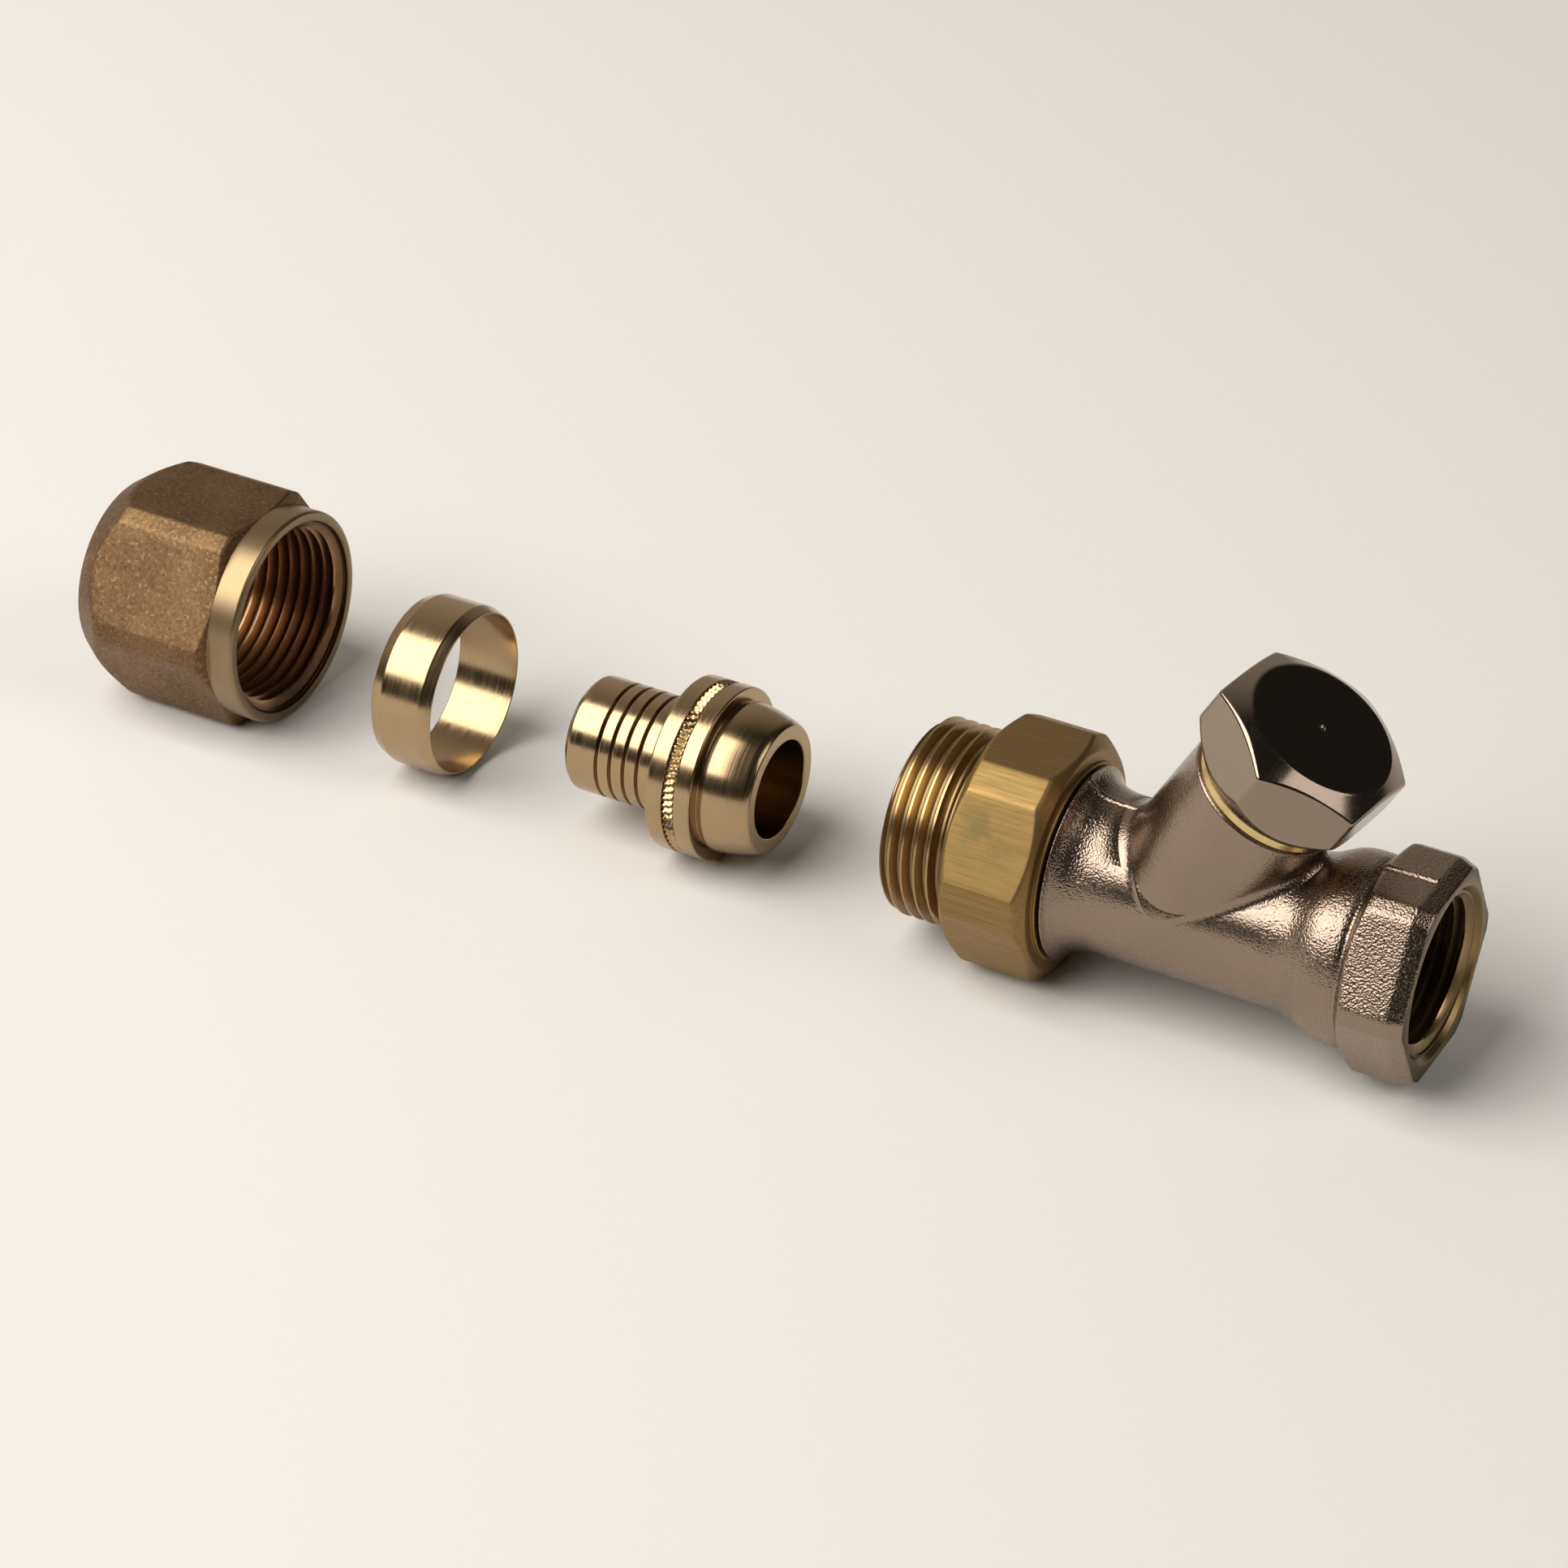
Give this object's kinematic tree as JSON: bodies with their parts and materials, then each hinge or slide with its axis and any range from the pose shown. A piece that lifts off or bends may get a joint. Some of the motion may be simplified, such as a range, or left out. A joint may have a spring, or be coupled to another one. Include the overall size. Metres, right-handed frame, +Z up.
{
  "type": "return valve",
  "caption": "Angle-seat return valve with screwed cap, threaded outlet and swivel nipple, laid out in a row with its compression nut, olive and barbed pipe tail.",
  "frame": {"origin": "on the surface, under the middle of the row's box", "axes": "+X along the row from the coupling nut to the valve's outlet, +Z up, +Y away from the viewer"},
  "size_m": [0.1962, 0.0332, 0.0502],
  "materials": {
    "blasted_nickel": "forged brass, sandblasted and nickel-plated",
    "drawn_brass": "drawn bar, turned",
    "forged_brass": "forged, dull, speckled",
    "bright_brass": "bright turned",
    "polished_nickel": "polished nickel plate",
    "turned_brass": "turned",
    "spring_wire": "bright spring wire",
    "black_rubber": "matt"
  },
  "bodies": {
    "valve": {"valve_body": "blasted_nickel", "bonnet_insert": "turned_brass", "bonnet_o_ring": "black_rubber", "nipple_o_ring": "black_rubber", "nipple_retaining_ring": "spring_wire"},
    "nipple": {"swivel_nipple": "drawn_brass"},
    "cone": {"shutoff_cone": "turned_brass", "seat_seal": "black_rubber", "cone_retaining_clip": "spring_wire"},
    "spindle": {"spindle": "turned_brass", "spindle_o_ring_lower": "black_rubber", "spindle_o_ring_upper": "black_rubber"},
    "cap": {"cap": "polished_nickel", "cap_gasket": "black_rubber"},
    "nut": {"coupling_nut": "forged_brass"},
    "olive": {"olive": "bright_brass"},
    "tail": {"pipe_tail": "bright_brass"}
  },
  "joints": [
    {"name": "nipple_swivel", "type": "hinge", "parent": "valve", "child": "nipple", "pos_m": [0.04165, 0, 0.01525], "axis": [1, 0, 0], "continuous": true},
    {"name": "cone_travel", "type": "slide", "parent": "valve", "child": "cone", "axis": [-0.5, 0, -0.866], "range_m": [0, 0.003]},
    {"name": "spindle_turn", "type": "hinge", "parent": "cone", "child": "spindle", "pos_m": [0.06185, 0, 0.01525], "axis": [-0.5, 0, -0.866], "range_deg": [0, 1080]},
    {"name": "cap_lift", "type": "slide", "parent": "valve", "child": "cap", "axis": [0.5, 0, 0.866], "range_m": [0, 0.02]},
    {"name": "nut_slide", "type": "slide", "parent": "valve", "child": "nut", "axis": [1, 0, 0.0024], "range_m": [0, 0.1056]},
    {"name": "olive_slide", "type": "slide", "parent": "valve", "child": "olive", "axis": [0.9985, 0, 0.055], "range_m": [0, 0.0609]},
    {"name": "tail_slide", "type": "slide", "parent": "valve", "child": "tail", "axis": [0.9928, 0, 0.1196], "range_m": [0, 0.02801]}
  ],
  "couplings": [
    {"joint": "spindle_turn", "follows": "cone_travel", "rad_per_m": 6283.2},
    {"joint": "olive_slide", "follows": "nut_slide", "ratio": 0.57663},
    {"joint": "tail_slide", "follows": "nut_slide", "ratio": 0.26516}
  ]
}
